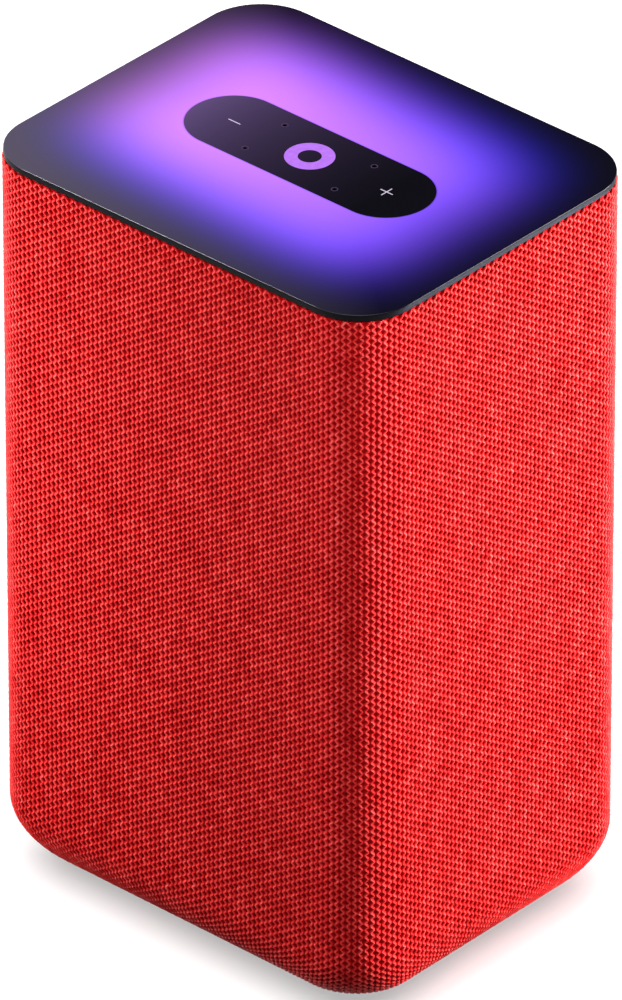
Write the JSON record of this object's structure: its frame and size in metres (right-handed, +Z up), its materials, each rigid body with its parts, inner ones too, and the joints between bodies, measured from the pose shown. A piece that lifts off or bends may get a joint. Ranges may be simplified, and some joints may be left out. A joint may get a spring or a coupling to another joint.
{
  "type": "smart speaker",
  "caption": "Upright rounded-box smart speaker with a knitted sleeve, a dark touch plate on top and a sprung mute button at the rear.",
  "frame": {"origin": "centre of the base, on the surface that the foot stands on", "axes": "+Z up, +X to the right seen from the front, the front with the woofer faces -Y and the power socket faces +Y"},
  "size_m": [0.117, 0.094, 0.19],
  "materials": {
    "foot_rubber": "matte",
    "base_plastic": "fine grain",
    "screw_steel": "zinc plated",
    "knit_red": "open knit",
    "cage_plastic": "matte",
    "panel_plastic": "fine grain",
    "button_plastic": "satin",
    "plunger_plastic": "satin",
    "switch_plastic": "matte",
    "board_green": "solder mask",
    "jack_plastic": "gloss",
    "brass": "bright",
    "smoked_plate": "polished",
    "film_black": "satin",
    "film_amber": "satin",
    "diffuser_opal": "opal",
    "tray_white": "matte",
    "board_white": "solder mask",
    "led_lens": "lens",
    "sensor_metal": "satin",
    "gasket_rubber": "matte",
    "frame_plastic": "matte",
    "ribbon_film": "satin",
    "enclosure_plastic": "matte",
    "foam": "open-cell foam",
    "lead_red": "satin",
    "basket_plastic": "matte",
    "pole_steel": "zinc plated",
    "ferrite": "matte",
    "cone_paper": "pressed pulp",
    "coil_copper": "enamelled wire",
    "surround_rubber": "matte",
    "spider_cloth": "resin-dipped weave",
    "shield_steel": "tin plated",
    "sink_aluminium": "milled",
    "capacitor_can": "sleeved",
    "antenna_blue": "solder mask",
    "dome_silk": "coated silk",
    "legend_light": "printed window"
  },
  "bodies": {
    "chassis": {"rubber_foot": "foot_rubber", "base_cover": "base_plastic", "base_screws": "screw_steel", "fabric_sleeve": "knit_red", "front_cage": "cage_plastic", "rear_cage": "cage_plastic", "rear_panel": "panel_plastic", "mute_switch": "switch_plastic", "button_board": "board_green", "dc_jack": "jack_plastic", "dc_pin": "brass", "top_plate": "smoked_plate", "light_mask": "film_black", "touch_film": "film_amber", "diffuser": "diffuser_opal", "light_tray": "tray_white", "led_board": "board_white", "leds": "led_lens", "microphones": "sensor_metal", "mic_gaskets": "gasket_rubber", "top_frame": "frame_plastic", "ribbon_cable": "ribbon_film", "enclosure_shell": "enclosure_plastic", "enclosure_gasket": "gasket_rubber", "enclosure_lid": "enclosure_plastic", "lid_screws": "screw_steel", "damping_foam": "foam", "woofer_leads": "lead_red", "woofer_basket": "basket_plastic", "woofer_pole_plate": "pole_steel", "woofer_magnet": "ferrite", "woofer_yoke": "pole_steel", "woofer_surround": "surround_rubber", "woofer_spider": "spider_cloth", "driver_screws": "screw_steel", "main_board": "board_green", "processor_shield": "shield_steel", "heat_sink": "sink_aluminium", "power_board": "board_green", "capacitors": "capacitor_can", "standoffs": "brass", "board_screws": "screw_steel", "wifi_antennas": "antenna_blue", "tweeter_left_frame": "basket_plastic", "tweeter_left_magnet": "pole_steel", "radiator_left_frame": "basket_plastic", "radiator_left_surround": "surround_rubber", "tweeter_right_frame": "basket_plastic", "tweeter_right_magnet": "pole_steel", "radiator_right_frame": "basket_plastic", "radiator_right_surround": "surround_rubber"},
    "woofer_moving": {"woofer_cone": "cone_paper", "woofer_dust_cap": "cone_paper", "woofer_coil": "coil_copper"},
    "tweeter_left_moving": {"tweeter_left_dome": "dome_silk"},
    "tweeter_right_moving": {"tweeter_right_dome": "dome_silk"},
    "radiator_left_moving": {"radiator_left_cone": "cone_paper"},
    "radiator_right_moving": {"radiator_right_cone": "cone_paper"},
    "mute_button": {"mute_button": "button_plastic", "mute_plunger": "plunger_plastic"}
  },
  "joints": [
    {"name": "mute_press", "type": "slide", "parent": "chassis", "child": "mute_button", "axis": [0, -1, 0], "range_m": [0, 0.0006], "stiffness_N_per_m": 2000},
    {"name": "woofer_travel", "type": "slide", "parent": "chassis", "child": "woofer_moving", "axis": [0, -1, 0], "range_m": [-0.0035, 0.0035], "stiffness_N_per_m": 1500, "deforming": ["woofer_surround", "woofer_spider"]},
    {"name": "tweeter_left_travel", "type": "slide", "parent": "chassis", "child": "tweeter_left_moving", "axis": [0, -1, 0], "range_m": [-0.0003, 0.0003], "stiffness_N_per_m": 3000},
    {"name": "tweeter_right_travel", "type": "slide", "parent": "chassis", "child": "tweeter_right_moving", "axis": [0, -1, 0], "range_m": [-0.0003, 0.0003], "stiffness_N_per_m": 3000},
    {"name": "radiator_left_travel", "type": "slide", "parent": "chassis", "child": "radiator_left_moving", "axis": [-1, 0, 0], "range_m": [-0.0035, 0.0035], "stiffness_N_per_m": 1200, "deforming": ["radiator_left_surround"]},
    {"name": "radiator_right_travel", "type": "slide", "parent": "chassis", "child": "radiator_right_moving", "axis": [1, 0, 0], "range_m": [-0.0035, 0.0035], "stiffness_N_per_m": 1200, "deforming": ["radiator_right_surround"]}
  ]
}
